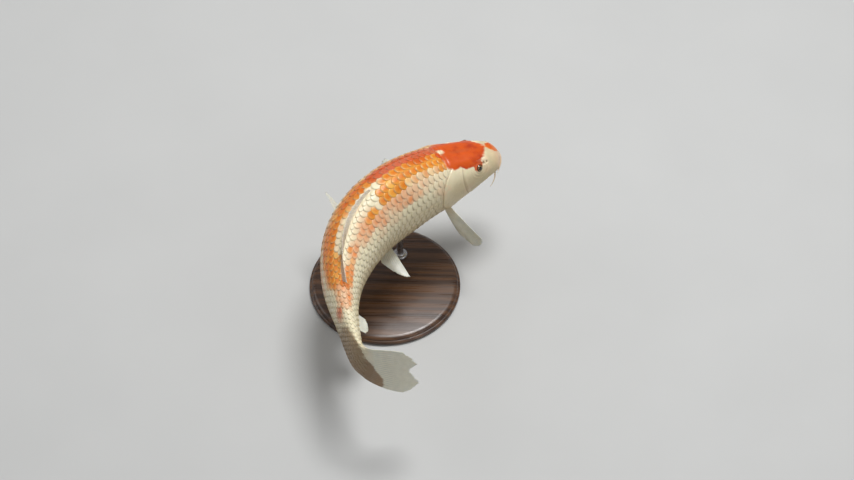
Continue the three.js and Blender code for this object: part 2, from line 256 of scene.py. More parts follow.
# A band is a ridge or groove across one measure (middle, width, rise), and a blob swells or sinks in two
# measures at once (middle, width, middle, width, rise)
head = {
    "mouth": {
        "station": 20, "reach": 45, "drop": 2.0, "slope": 24, "corner": 13,
        "lips": [(-0.2, 0.8, -2.4), (2.3, 1.7, 1.25), (-2.9, 1.6, 1.9),
                 (5.4, 1.1, -0.8), (-6.0, 1.1, -0.9), (8.2, 1.6, 0.3)],
        "wrinkles": [(2.3, 2.0, 0.16), (-3.2, 1.8, 0.16)],
        "cornerPit": [(13, 2.0, -0.4, 2.6, -0.9)],
    },
    "nostril": {
        "along": 30.5, "degrees": 43, "degreeLength": 0.55,
        "holes": [(-2.8, 1.7, 0, 2.125, -1.7), (2.6, 2.1, 0, 3.0, -2.0)],
        "flap": [(-0.2, 1.1, 0, 2.6, 1.5)],
        "rim": [(5.6, 1.3, 0.5)],
    },
    "eye": {
        "opening": 4.9, "pit": -2.2,
        "rim": [(1.1, 0.9, 0.8), (3.0, 0.9, -0.4), (4.8, 1.4, 0.25)],
        "pouch": [(8.0, 0.9, -0.45), (10.2, 1.5, 0.3)],
    },
    "gillEdge": [(25, 82), (45, 100), (60, 111), (80, 118), (95, 118), (110, 111), (125, 100),
                 (140, 90), (160, 76), (180, 64)],
    "gillGrooves": [(1.7, 1.1, -1.5), (3.5, 3.5, -0.5), (-4.2, 0.8, -0.35)],
    "cheekEdge": [(30, 70), (70, 75), (95, 71), (120, 63), (145, 50), (180, 40)],
    "cheekFold": [(0, 1.5, -0.8), (-3.6, 2.4, 0.5)],
    "ribs": {"start": (76, 66), "count": 34, "rise": 0.16},
    "napeEnd": 93, "scaleGap": 2.5,             # a hollow this deep gets the full painted shade
    "creaseDepth": 1.6,                         # a crease this deep has its full colour
    "swellings": [
        (62, 26, 27, 8, 0.5), (62, 26, 0, 5, -0.5),             # the crown's ridges and its hollow
        (44, 9, 38, 6, 0.5), (97, 13, 85, 30, 0.9),             # brow and gill cover
        (336, 4, 180, 5, 0.9), (336, 1.4, 180, 5, -1.2),        # vent
    ],
}
gillEdgeAt = smoothTable(head["gillEdge"])
cheekEdgeAt = smoothTable(head["cheekEdge"])
eyeSpots = {}
for side, name in ((1, "eye_right"), (-1, "eye_left")):
    low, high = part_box(name)
    middle = np.array((low + high) / 2) / mm
    radius = (high.z - low.z) / 2 / mm
    distance, angle = np.meshgrid(np.arange(30, 60, 0.5), side * np.arange(30, 80, 0.5))
    shell = bodyPoints(distance, angle)
    nearest = np.linalg.norm(shell - middle, axis=-1).argmin()
    axis = unit(shell.reshape(-1, 3)[nearest] - middle)
    eyeSpots[name] = {"middle": middle, "radius": radius, "axis": axis}


def bands(x, table):
    return sum(rise * bump(x, middle, width) for middle, width, rise in table)


def blobs(x, y, table):
    return sum(rise * bump(x, a, wide) * bump(y, b, high) for a, wide, b, high, rise in table)


def scaleStartAt(around):
    turn = np.abs(around)
    edge = gillEdgeAt(turn) + head["scaleGap"]
    return np.where(turn < 60, np.maximum(edge, head["napeEnd"]), edge)


def mouthRelief(points):
    mouth = head["mouth"]
    centre, ahead, right, up = bodyAxes(mouth["station"])
    offset = points - np.array(carp["nose"])
    behind = -(offset @ ahead)
    slope = math.radians(mouth["slope"])
    above = (offset @ up + mouth["drop"] + behind * math.tan(slope)) * math.cos(slope)
    fade = 1 - smoothStep(mouth["corner"] - 3, mouth["corner"] + 2, behind)
    wrinkles = np.sin((offset @ right) * 1.9 + behind * 1.3) * bands(above, mouth["wrinkles"])
    return (bands(above, mouth["lips"]) + wrinkles) * fade + blobs(behind, above, mouth["cornerPit"])


def nostrilRelief(along, turn):
    nostril = head["nostril"]
    back = along - nostril["along"]
    down = (turn - nostril["degrees"]) * nostril["degreeLength"]
    rim = bands(np.hypot(back, down), nostril["rim"])
    return blobs(back, down, nostril["holes"] + nostril["flap"]) + rim


def eyeRelief(points):
    form = head["eye"]
    total = np.zeros(points.shape[:-1])
    for eye in eyeSpots.values():
        offset = points - eye["middle"]
        depth = offset @ eye["axis"]
        off = np.linalg.norm(offset - depth[..., None] * eye["axis"], axis=-1)
        off = np.where(depth > 0, off, 99) - form["opening"]        # nothing on the far side of the head
        pit = form["pit"] * (1 - smoothStep(-0.9, 0.5, off))
        below = smoothStep(0, 4, eye["middle"][2] - points[..., 2])
        total += pit + bands(off, form["rim"]) + bands(off, form["pouch"]) * below
    return total


def gillRelief(along, turn):
    edge = along - gillEdgeAt(turn)
    cheek = along - cheekEdgeAt(turn)
    plate = smoothStep(-22, -3, edge) * (1 - smoothStep(-0.3, 1.1, edge))
    ribs = head["ribs"]
    back, down = along - ribs["start"][0], turn - ribs["start"][1]
    fan = np.sin(np.arctan2(down, back * 1.1) * ribs["count"]) * smoothStep(6, 16, np.hypot(down, back))
    fan = fan * smoothStep(4, 9, cheek) * (1 - smoothStep(-5, -2, edge)) * bump(turn, 82, 34)
    cover = (plate + bands(edge, head["gillGrooves"]) + ribs["rise"] * fan) * smoothStep(27, 44, turn)
    fold = bands(cheek, head["cheekFold"]) * smoothStep(30, 48, turn) * (1 - smoothStep(150, 170, turn))
    seam = -0.5 * bump(turn, 96 + (along - 55) * 0.25, 4) * bump(along, 57, 13)
    throat = 0.35 * np.sin(turn * 0.55) * smoothStep(138, 150, turn) * bump(along, 66, 18)
    return cover + fold + seam + throat


# How far the skin stands off the solids, and how much painted shade its hollows get by their depth
def skinRelief(along, around, points):
    turn = np.abs(around)
    cover = smoothStep(-1, 7, along - scaleStartAt(around))
    inset = -carp["bareInset"] * (1 - cover) - carp["coatDepth"] * cover
    nape = -0.5 * bump(along, head["napeEnd"], 2.2) * (1 - smoothStep(25, 45, turn))
    mouth = mouthRelief(points) * (along < head["mouth"]["reach"])
    face = nape + blobs(along, turn, head["swellings"]) + mouth + nostrilRelief(along, turn)
    face = face + eyeRelief(points) + gillRelief(along, turn)
    return inset + face, np.clip(-face / head["creaseDepth"], 0, 1)


skinGrid = {
    "columns": 192, "noseRows": 30,
    "stretches": [(126, 119), (500, 138), (carp["skinEnd"], 17)],       # up to a distance, in so many rows
    "leastHalfWidth": 0.02,
}


def skinStations():
    stations = list(carp["noseRounding"] * (1 - np.cos(np.linspace(0, math.pi / 2, skinGrid["noseRows"]))))
    for end, rows in skinGrid["stretches"]:
        stations.extend(np.linspace(stations[-1], end, rows + 1)[1:])
    return np.array(stations)


def makeSkin():
    stations = skinStations()
    rows = len(stations) - 1
    places = {}

    def place(x, y):
        along = np.interp(y * rows, np.arange(rows + 1), stations)
        around = aroundAt(along, 2 * x - 1)
        around[:, 0] = -180
        around[:, -1] = 180
        base = bodyPoints(along, around)
        normals = gridNormals(base, True)
        normals[0] = aheadAt(0.0)
        relief, places["creaseShade"] = skinRelief(along, around, base)
        relief[0] = relief[1].mean()
        relief[:, 0] = relief[:, -1]
        shaped = base + normals * relief[..., None]
        # the thin end of the stalk keeps each side on its own side of the middle, and closes there
        centre, ahead, right, up = bodyAxes(along)
        baseSide = ((base - centre) * right).sum(-1, keepdims=True)
        shapedSide = ((shaped - centre) * right).sum(-1, keepdims=True)
        ownSide = np.sign(baseSide)
        least = np.minimum(skinGrid["leastHalfWidth"], np.abs(baseSide))
        shaped = shaped + right * (np.maximum(shapedSide * ownSide, least) * ownSide - shapedSide)
        height = ((shaped[-1] - centre[-1]) * up[-1]).sum(-1, keepdims=True)
        shaped[-1] = centre[-1] + up[-1] * height
        places["along"], places["around"] = along, around
        return shaped

    return wrapGrid("koi_skin", skinGrid["columns"], rows, place, {
        "bodyMap": lambda x, y: bodySpot(places["around"], places["along"]),
        "creaseShadeMap": lambda x, y: (places["creaseShade"], y),
        "OFBake": lambda x, y: bakeSpot(places["along"], 2 * x - 1),
    })


# Where a point of the body lies on the map of its own degrees and distance
def bodySpot(around, along):
    return around / 360 + 0.5, along / carp["length"]


# Where a point of the body lies on the flat unwrap of the skin
def bakeSpot(along, fraction):
    return 0.01 + 0.98 * (fraction + 1) / 2, 0.01 + 0.98 * along / carp["skinEnd"]


skin = makeSkin()
print("skin made,", len(skin.data.polygons), "faces")

coat = {
    "rows": 28,                                  # lengthwise rows round the whole girth
    "pitches": [(80, 8.6), (130, 10), (200, 11.4), (300, 11.4), (400, 10), (480, 7.6), (525, 6)],
    "overlap": 1.9,                              # length of a scale, in pitches
    "width": 0.7,                                # half width of a scale, in row spacings
    "thickness": 0.24,
    "lift": 0.68,                                # how far the free edge stands over the skin
    "rootSink": 0.35, "crown": 0.35,             # how deep a root sits, and how far the sides drop
    "sizeChance": 0.03, "turnChance": 2.5, "liftChance": (-0.07, 0.05),
    "patch": 0.003,                              # a scale's width on the skin's unwrap
    "lateralRow": 7,
    "tailEnd": [(0, 507), (50, 516), (90, 519), (130, 516), (180, 507)],
    "dorsalBase": (224, 392), "analBase": (342, 385),
    "finStep": 0.46, "finWidth": 0.6,            # the narrow scales along both sides of a fin's base
}


def scaleTemplate(across=6, along=6):
    bm = bmesh.new()
    bmesh.ops.create_grid(bm, x_segments=across, y_segments=along, size=1.0)
    for vert in bm.verts:
        x, y = vert.co.x, (vert.co.y + 1) / 2
        rear = 1 - 0.30 * x ** 2 - 0.16 * x ** 4
        narrow = 0.82 + 0.18 * math.sin(min(y * 1.7, 1) * math.pi / 2)
        vert.co = (x * narrow, y * rear, 0)
    rim = [edge for edge in bm.edges if edge.is_boundary]
    grown = bmesh.ops.extrude_edge_only(bm, edges=rim)["geom"]
    lower = [item for item in grown if isinstance(item, bmesh.types.BMVert)]
    bmesh.ops.translate(bm, verts=lower, vec=(0, 0, -1))
    bmesh.ops.holes_fill(bm, edges=[edge for edge in bm.edges if edge.is_boundary], sides=0)
    bmesh.ops.recalc_face_normals(bm, faces=bm.faces)
    bm.verts.index_update()
    corners = np.array([vert.co[:] for vert in bm.verts])
    faces = [[vert.index for vert in face.verts] for face in bm.faces]
    bm.free()
    return corners, faces


def scaleSpots():
    fine = np.arange(70, 530, 0.5)
    counts = np.concatenate([[0], np.cumsum(0.5 / smoothTable(coat["pitches"])(fine[:-1] + 0.25))])
    tailEndAt = smoothTable(coat["tailEnd"])
    rowsHalf = coat["rows"] // 2
    spots = []
    for row in range(-rowsHalf, rowsHalf):
        shift = 0.5 if row % 2 else 0.0
        for count in range(1, int(counts[-1]) + 1):
            along = float(np.interp(count + shift, counts, fine))
            around = float(aroundAt(along, row / rowsHalf))
            start = float(scaleStartAt(around))
            if along < start + 2 or along > tailEndAt(abs(around)):
                continue
            onDorsal = row == 0 and coat["dorsalBase"][0] < along < coat["dorsalBase"][1]
            onAnal = row == -rowsHalf and coat["analBase"][0] < along < coat["analBase"][1]
            if not onDorsal and not onAnal:
                spots.append((along, row / rowsHalf, row, start, 1.0))
                continue
            for step in (-coat["finStep"], coat["finStep"]):
                fraction = (row + step) / rowsHalf
                fraction = fraction + 2 if fraction < -1 else fraction
                spots.append((along, fraction, math.floor(fraction * rowsHalf), start, coat["finWidth"]))
    return spots


def makeScales(name, spots, seed):
    corners, faces = scaleTemplate()
    count = len(corners)
    x, y, under = corners.T
    tips, fractions, rows, starts, share = np.array(spots, float).T
    chance = np.random.default_rng(seed)
    size = 1 + chance.uniform(-coat["sizeChance"], coat["sizeChance"], len(tips))
    turn = np.radians(chance.uniform(-coat["turnChance"], coat["turnChance"], len(tips)))[:, None]
    young = smoothStep(0, 16, tips - starts)
    lift = coat["lift"] * (0.6 + 0.4 * young) + chance.uniform(*coat["liftChance"], len(tips))
    pitch = smoothTable(coat["pitches"])(tips)
    length = np.minimum(pitch * coat["overlap"] * size, tips - starts + 4)
    width = halfGirthAt(tips) / (coat["rows"] / 2) * coat["width"] * size * share
    across = x * width[:, None]
    behind = (y - 1) * length[:, None]
    along = tips[:, None] + behind * np.cos(turn) + across * np.sin(turn)
    shift = across * np.cos(turn) - behind * np.sin(turn)
    around = aroundAt(along, fractions[:, None] + shift / halfGirthAt(along))
    crown = coat["crown"] * x ** 2 * (0.4 + 0.6 * y)
    top = -coat["rootSink"] + (lift[:, None] + coat["rootSink"]) * y - crown
    height = top + under * coat["thickness"]
    places = bodyPoints(along, around, height - carp["coatDepth"]) * mm
    joined = [[i * count + corner for corner in face] for i in range(len(tips)) for face in faces]
    mesh = bpy.data.meshes.new(name)
    mesh.from_pydata(places.reshape(-1, 3).tolist(), [], joined)
    mesh.polygons.foreach_set("use_smooth", np.ones(len(joined), bool))
    middle = tips - 0.45 * pitch
    rootAround = aroundAt(middle, fractions)
    rootU, rootV = bakeSpot(tips - length, fractions)
    # a scale that crosses the belly line keeps its own side, so its map doesn't jump
    own = np.where(np.abs(around - rootAround[:, None]) > 180, around - 360 * np.sign(around), around)
    addMap(mesh, "bodyMap", bodySpot(own, along))
    addMap(mesh, "rootMap", bodySpot(np.repeat(rootAround, count), np.repeat(middle, count)))
    addMap(mesh, "scaleMap", (np.tile(x / 2 + 0.5, len(tips)), np.tile(y, len(tips))))
    addMap(mesh, "OFBake", (rootU[:, None] + x * coat["patch"] / 2, rootV[:, None] + y * coat["patch"]))
    onLine = (np.abs(rows) == coat["lateralRow"]).astype(np.float32)
    mesh.attributes.new("poreRow", "FLOAT", "POINT").data.foreach_set("value", np.repeat(onLine, count))
    return addObject(name, mesh)


allSpots = scaleSpots()
scalesRight = makeScales("koi_scales_right", [spot for spot in allSpots if spot[2] >= 0], 11)
scalesLeft = makeScales("koi_scales_left", [spot for spot in allSpots if spot[2] < 0], 12)
print("scales made,", len(allSpots))

fins = {
    "fin_pectoral_right": {
        "side": 1, "station": 104, "degrees": 128, "rootDepth": 5, "rootChord": 8, "length": 80,
        "taper": 0.35, "fullness": 2.6, "spread": 28, "twist": 20, "bow": 5,
        "reach": (0.24, 0.86, -0.45), "chord": (-0.5, -0.15, -0.85),
        "rays": 15, "rootThickness": 3.0, "wave": 1.0, "fray": 0.03, "seed": 3},
    "fin_pectoral_left": {
        "side": -1, "station": 104, "degrees": 128, "rootDepth": 5, "rootChord": 13, "length": 84,
        "taper": 0.5, "fullness": 2.2, "spread": 22, "twist": 10, "bow": 6,
        "reach": (-0.5, 0.8, -0.25), "chord": (-0.8, -0.4, -0.45),
        "rays": 15, "rootThickness": 3.0, "wave": 1.0, "fray": 0.03, "seed": 4},
    "fin_pelvic_right": {
        "side": 1, "station": 224, "degrees": 160, "rootDepth": 6, "rootChord": 19, "length": 72,
        "taper": 0.66, "fullness": 1.1, "spread": 12, "twist": 0, "bow": 4,
        "reach": (-0.42, 0.9, -0.16), "chord": (-0.95, -0.3, -0.2),
        "rays": 9, "rootThickness": 3.0, "wave": 0.8, "fray": 0.03, "seed": 5},
    "fin_pelvic_left": {
        "side": -1, "station": 228, "degrees": 156, "rootDepth": 6, "rootChord": 17, "length": 88,
        "taper": 0.5, "fullness": 1.3, "spread": 9, "twist": 0, "bow": 4,
        "reach": (0.16, 0.9, 0.42), "chord": (-0.66, -0.3, 0.52),
        "rays": 9, "rootThickness": 3.0, "wave": 0.8, "fray": 0.03, "seed": 6},
    "fin_dorsal": {
        "from": 222, "to": 388, "degrees": 0, "slope": 1.5,
        "heights": [(0, 6), (0.12, 9), (0.3, 14), (0.45, 15), (0.8, 11), (1, 9)],
        "lean": [(0, -6), (0.5, -4), (1, 42)],
        "rays": 20, "rootThickness": 2.6, "wave": 0.3, "fray": 0.05, "seed": 7},
    "fin_anal": {
        "from": 342, "to": 386, "degrees": 180, "slope": 0.62,
        "heights": [(0, 41), (0.25, 45), (0.7, 41), (1, 35)],
        "lean": [(0, 58), (1, 62)],
        "rays": 8, "rootThickness": 2.6, "wave": 0.8, "fray": 0.04, "seed": 8},
    "fin_tail": {
        "tips": [(0, 572), (0.1, 586), (0.24, 592), (0.38, 588), (0.53, 580),
                 (0.67, 586), (0.79, 590), (0.92, 582), (1, 570)],
        "rootStation": 500, "halfHeight": 29, "flareUp": 15, "flareDown": 17,
        "rays": 19, "rootThickness": 3.4, "wave": 0.7, "fray": 0.07, "seed": 9},
}
finForm = {
    "edge": 0.55,                       # thickness of the web between the rays, in millimetres
    "rayRise": 0.24,                    # how far a ray stands out of the web on each side
    "split": (0.35, 0.75, 0.24),        # where a ray starts and ends to fork, and by how much of a step
    "mapRays": 40,                      # rays on the whole width of the finMap
    "columnsPerRay": 14, "rows": 44,
}


def stepped(root, steps, axes):
    return root + sum(step[..., None] * axis for step, axis in zip(steps, axes))


def pairedPlace(fin):
    side = fin["side"]
    root = bodyPoints(fin["station"], side * fin["degrees"], -fin["rootDepth"])
    centre, ahead, right, up = bodyAxes(fin["station"])

    def direction(parts):
        return ahead * parts[0] + right * side * parts[1] + up * parts[2]

    reach = unit(direction(fin["reach"]))
    chord = direction(fin["chord"])
    chord = unit(chord - reach * (chord @ reach))
    face = np.cross(reach, chord) * side
    spread, twist = math.radians(fin["spread"]), math.radians(fin["twist"])

    def pointAt(ray, along):
        turn = (ray - 0.3) * spread
        shorter = fin["taper"] * ray ** fin["fullness"] + 0.08 * (1 - ray) ** 6
        distance = fin["length"] * along * (1 - shorter)
        across = (ray - 0.5) * fin["rootChord"] + np.sin(turn) * distance
        lifted = across * np.sin(twist * along) + fin["bow"] * along ** 2
        steps = (np.cos(turn) * distance, across * np.cos(twist * along), lifted)
        return stepped(root, steps, (reach, chord, face))

    return pointAt


def medianPlace(fin):
    heightAt, leanAt = smoothTable(fin["heights"]), smoothTable(fin["lean"])
    upward = 1 if fin["degrees"] == 0 else -1

    def pointAt(ray, along):
        station = fin["from"] + (fin["to"] - fin["from"]) * ray
        height = heightAt(ray) * along
        tilt = np.radians(leanAt(ray)) * along ** 0.5
        rise = upward * (height * np.cos(tilt) - 4 * (1 - along))
        centre, ahead, right, up = bodyAxes(station)
        steps = (-height * fin["slope"], height * np.sin(tilt), rise)
        return stepped(bodyPoints(station, fin["degrees"]), steps, (ahead, right, up))

    return pointAt


def tailPlace(fin):
    tipAt = smoothTable(fin["tips"])

    def pointAt(ray, along):
        height = (ray - 0.5) * 2
        station = fin["rootStation"] + (tipAt(ray) - fin["rootStation"]) * along
        flare = np.where(height > 0, fin["flareUp"], fin["flareDown"])
        rise = height * (fin["halfHeight"] + flare * along ** 1.3)
        centre, ahead, right, up = bodyAxes(station)
        return centre + up * rise[..., None]

    return pointAt


# Every ray has its own length, and the web is torn a little way in between some of them
def rayLengths(fin, phase):
    chance = np.random.default_rng(fin["seed"])
    count = fin["rays"] * 2 + 3
    longer = chance.uniform(0, 1, count)
    torn = (chance.uniform(0, 1, count) > 0.6) * chance.uniform(0.3, 1, count)
    places = phase * 2
    between = 1 - np.abs(2 * (places % 1) - 1)
    i = np.clip(places.astype(int), 0, count - 2)
    loss = np.interp(places, np.arange(count), longer) * 0.5 + torn[i] * between ** 3 + 0.25 * between
    return 1 - fin["fray"] * loss


def makeFin(name, fin):
    place = pairedPlace(fin) if "side" in fin else medianPlace(fin) if "from" in fin else tailPlace(fin)
    rays = fin["rays"]
    splitStart, splitEnd, splitStep = finForm["split"]

    def raysOf(x):
        return np.clip(1 - np.abs(2 * x - 1), 0, 1)

    def finPoints(x, y):
        ray = raysOf(x)
        phase = ray * rays
        along = y * rayLengths(fin, phase)
        middle = place(ray, along)
        normals = gridNormals(middle, False)
        wave = np.sin(ray * 9 + y * 3.1 + fin["seed"]) * fin["wave"] * y ** 2
        facing = np.where(x <= 0.5, 1, -1)[..., None]
        step = np.abs(phase - np.round(phase))
        split = splitStep * smoothStep(splitStart, splitEnd, y)
        ridge = bump(step, split, 0.15) * (1 - 0.55 * y)
        ridge = np.maximum(ridge, 1.5 * bump(ray, 0.0, 0.03) * (1 - 0.6 * y))
        web = fin["rootThickness"] + (finForm["edge"] - fin["rootThickness"]) * np.clip(y * 2.2, 0, 1) ** 0.6
        half = web / 2 + finForm["rayRise"] * ridge * smoothStep(0.02, 0.12, y)
        rim = np.clip(np.minimum(ray, 1 - ray) / 0.022, 0, 1)
        tip = np.clip((1 - y) / 0.035, 0, 1)
        half = half * np.sqrt(1 - (1 - rim) ** 2) * np.sqrt(1 - (1 - tip) ** 2) * (y > 0)
        return middle + normals * half[..., None] + normals * facing * wave[..., None]

    return wrapGrid(name, rays * finForm["columnsPerRay"], finForm["rows"], finPoints, {
        "finMap": lambda x, y: (raysOf(x) * rays / finForm["mapRays"], y),
        "OFBake": lambda x, y: (0.01 + 0.98 * x, 0.01 + 0.98 * y),
    })


finPieces = {name: makeFin("koi_" + name, fin) for name, fin in fins.items()}
print("fins made,", len(finPieces))

barbels = {
    "upper": {"station": 9, "degrees": 104, "length": 11, "droop": 0.5, "sweep": 0.5, "thickness": 1.0},
    "corner": {"station": 17, "degrees": 122, "length": 22, "droop": 0.75, "sweep": 0.6, "thickness": 1.3},
}
barbelForm = {"spread": 0.55, "taper": 0.62, "flare": 0.45, "flareLength": 0.08, "tipLength": 0.06}


def makeBarbel(name, side, barbel):
    root = bodyPoints(barbel["station"], side * barbel["degrees"], -barbel["thickness"])
    centre, ahead, right, up = bodyAxes(barbel["station"])
    length = barbel["length"]

    def lineAt(along):
        steps = (-length * barbel["sweep"] * along ** 2, side * length * barbelForm["spread"] * along,
                 -length * barbel["droop"] * along)
        return stepped(root, steps, (ahead, right, up))

    def place(x, y):
        middle = lineAt(y)
        across = gridNormals(np.stack([middle[:, 0], middle[:, 0] + ahead], 1), False)[:, :1]
        other = np.cross(unit(np.gradient(middle[:, 0], axis=0))[:, None], across)
        flare = barbelForm["flare"] * np.exp(-y / barbelForm["flareLength"])
        tip = np.sqrt(np.clip((1 - y) / barbelForm["tipLength"], 0, 1))
        radius = barbel["thickness"] * (1 - barbelForm["taper"] * y + flare) * tip
        angle = (2 * math.pi * x)[..., None]
        return middle + (across * np.cos(angle) + other * np.sin(angle)) * radius[..., None]

    return wrapGrid(name, 20, 30, place, {"OFBake": lambda x, y: (x, y)})


barbelPieces = {}
for kind, barbel in barbels.items():
    for side, sideName in ((1, "right"), (-1, "left")):
        name = "barbel_" + kind + "_" + sideName
        barbelPieces[name] = makeBarbel("koi_" + name, side, barbel)
print("barbels made,", len(barbelPieces))

eyeball = {"bulge": 0.05, "bulgeWidth": 0.55, "columns": 64, "rows": 48}


def makeEye(name, eye):
    axis = eye["axis"]
    across = unit(np.cross(axis, (0, 0, 1)))
    other = np.cross(axis, across)

    def place(x, y):
        polar = (math.pi * y)[..., None]
        angle = (2 * math.pi * x)[..., None]
        radius = eye["radius"] * (1 + eyeball["bulge"] * bump(polar, 0, eyeball["bulgeWidth"]))
        outward = axis * np.cos(polar)
        ring = (across * np.cos(angle) + other * np.sin(angle)) * np.sin(polar)
        return eye["middle"] + (outward + ring) * radius

    def roundMap(x, y):
        return 0.5 + 0.49 * y * np.cos(2 * math.pi * x), 0.5 + 0.49 * y * np.sin(2 * math.pi * x)

    return wrapGrid("koi_" + name, eyeball["columns"], eyeball["rows"], place, {
        "eyeMap": lambda x, y: (x, y),
        "OFBake": roundMap,
    })


eyePieces = {name: makeEye(name, eye) for name, eye in eyeSpots.items()}
print("eyes made")

stand = {
    "baseProfile": [(0.0, 0.0), (0.93, 0.0), (0.965, 0.1), (1.0, 0.16), (1.0, 0.42), (0.988, 0.54),
                    (0.972, 0.58), (0.972, 0.66), (0.962, 0.80), (0.940, 0.93), (0.905, 1.0), (0.0, 1.0)],
    # (radius, height) of a rod's flange over the base, and of its collar from the rod's top
    "rodFoot": [(0, -0.4), (11, -0.4), (11, 2.2), (10.23, 3.4), (8.8, 4), (6.75, 4.2), (5.4, 5.6), (5, 8)],
    "rodTop": [(5, -13), (5.25, -10.5), (6.88, -8), (8, -5.5), (8, -1), (6.4, 2), (0, 2)],
}


def turnedPiece(name, profile, middle, steps):
    bm = bmesh.new()
    last = None
    for radius, height in profile:
        vert = bm.verts.new((radius, 0, height))
        if last is not None:
            bm.edges.new((last, vert))
        last = vert
    bmesh.ops.spin(bm, geom=bm.verts[:] + bm.edges[:], cent=(0, 0, 0), axis=(0, 0, 1), dvec=(0, 0, 0),
                   angle=2 * math.pi, steps=steps, use_merge=True, use_duplicate=False)
    bmesh.ops.remove_doubles(bm, verts=bm.verts, dist=1e-6)
    bmesh.ops.translate(bm, verts=bm.verts, vec=middle)
    mesh = bpy.data.meshes.new(name)
    bm.to_mesh(mesh)
    bm.free()
    made = closeMesh(mesh, name)
    made.data.set_sharp_from_angle(angle=math.radians(38))
    return made


def makeBase():
    low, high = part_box("stand_base")
    radius, thickness = (high.x - low.x) / 2, high.z - low.z
    profile = [(share * radius, rise * thickness) for share, rise in stand["baseProfile"]]
    return turnedPiece("display_base", profile, ((low.x + high.x) / 2, (low.y + high.y) / 2, low.z), 144)


def makeRod(node, name):
    low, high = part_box(node)
    top = (high.z - low.z) / mm
    profile = stand["rodFoot"] + [(radius, top + height) for radius, height in stand["rodTop"]]
    profile = [(radius * mm, height * mm) for radius, height in profile]
    return turnedPiece(name, profile, ((low.x + high.x) / 2, (low.y + high.y) / 2, low.z), 64)


base = makeBase()
rodFront = makeRod("stand_rod_front", "display_rod_front")
rodRear = makeRod("stand_rod_rear", "display_rod_rear")
print("stand made")


def link(tree, kind, inputs=None, **settings):
    made = tree.nodes.new(kind)
    for key, value in settings.items():
        setattr(made, key, value)
    for key, value in (inputs or {}).items():
        socket = made.inputs[key]
        if isinstance(value, bpy.types.NodeSocket):
            tree.links.new(value, socket)
        else:
            socket.default_value = value
    return made


def maths(tree, operation, a, b=0.0, c=0.0, clamp=False):
    return link(tree, "ShaderNodeMath", {0: a, 1: b, 2: c}, operation=operation, use_clamp=clamp).outputs[0]


def times(tree, product, *others):
    for other in others:
        product = maths(tree, "MULTIPLY", product, other)
    return product


def timesPlus(tree, value, factor, extra, clamp=False):
    return maths(tree, "MULTIPLY_ADD", value, factor, extra, clamp)


def vectors(tree, operation, a, b):
    return link(tree, "ShaderNodeVectorMath", {0: a, 1: b}, operation=operation).outputs[0]


def ranged(tree, value, low, high, start=0.0, end=1.0):
    inputs = {"Value": value, "From Min": low, "From Max": high, "To Min": start, "To Max": end}
    return link(tree, "ShaderNodeMapRange", inputs, interpolation_type="SMOOTHSTEP", clamp=True).outputs[0]


def mixed(tree, share, a, b):
    made = link(tree, "ShaderNodeMix", {0: share, 6: a, 7: b}, data_type="RGBA", clamp_factor=True)
    return made.outputs[2]


def layered(tree, colour, layers):
    for share, paint in layers:
        colour = mixed(tree, share, colour, paint)
    return colour


def darkened(tree, share, colour, tone):
    inputs = {0: share, 6: colour, 7: tone}
    return link(tree, "ShaderNodeMix", inputs, data_type="RGBA", blend_type="MULTIPLY").outputs[2]


def partsOf(tree, vector):
    return link(tree, "ShaderNodeSeparateXYZ", {0: vector}).outputs


def mapSpot(tree, mapName):
    return link(tree, "ShaderNodeUVMap", uv_map=mapName).outputs[0]


def noise(tree, place, scale, detail, output=0):
    inputs = {"Vector": place, "Scale": scale, "Detail": detail}
    return link(tree, "ShaderNodeTexNoise", inputs).outputs[output]


def stretched(tree, place, scale, turn=(0, 0, 0)):
    return link(tree, "ShaderNodeMapping", {"Vector": place, "Scale": scale, "Rotation": turn}).outputs[0]


# How far a place is from the middle of a patch, 1 at its edge, and the place in the patch's own measures
def patchDistance(tree, place, middle, size, turn=0.0):
    inputs = {"Vector": place, "Location": middle, "Rotation": (0, 0, math.radians(turn)), "Scale": size}
    inside = link(tree, "ShaderNodeMapping", inputs, vector_type="TEXTURE").outputs[0]
    return link(tree, "ShaderNodeVectorMath", {0: inside}, operation="LENGTH").outputs["Value"], inside


def newGroup(name, results):
    group = bpy.data.node_groups.new(name, "ShaderNodeTree")
    group.interface.new_socket("place", in_out="INPUT", socket_type="NodeSocketVector")
    for result in results:
        group.interface.new_socket(result, in_out="OUTPUT", socket_type="NodeSocketFloat")
    return group, group.nodes.new("NodeGroupInput").outputs[0], group.nodes.new("NodeGroupOutput").inputs


def newMaterial(name, settings):
    material = bpy.data.materials.new(name)
    material.use_nodes = True
    tree = material.node_tree
    for key, value in settings.items():
        tree.nodes["Principled BSDF"].inputs[key].default_value = value
    return material, tree, link(tree, "ShaderNodeTexCoord").outputs["Object"]


# Joins the shader's colour and roughness, and a relief given as (height, strength, depth)
def paintOn(tree, colour, roughness=None, relief=None):
    sockets = tree.nodes["Principled BSDF"].inputs
    tree.links.new(colour, sockets["Base Color"])
    if roughness is not None:
        tree.links.new(roughness, sockets["Roughness"])
    if relief is not None:
        height, strength, depth = relief
        bumps = link(tree, "ShaderNodeBump", {"Height": height, "Strength": strength, "Distance": depth})
        tree.links.new(bumps.outputs[0], sockets["Normal"])


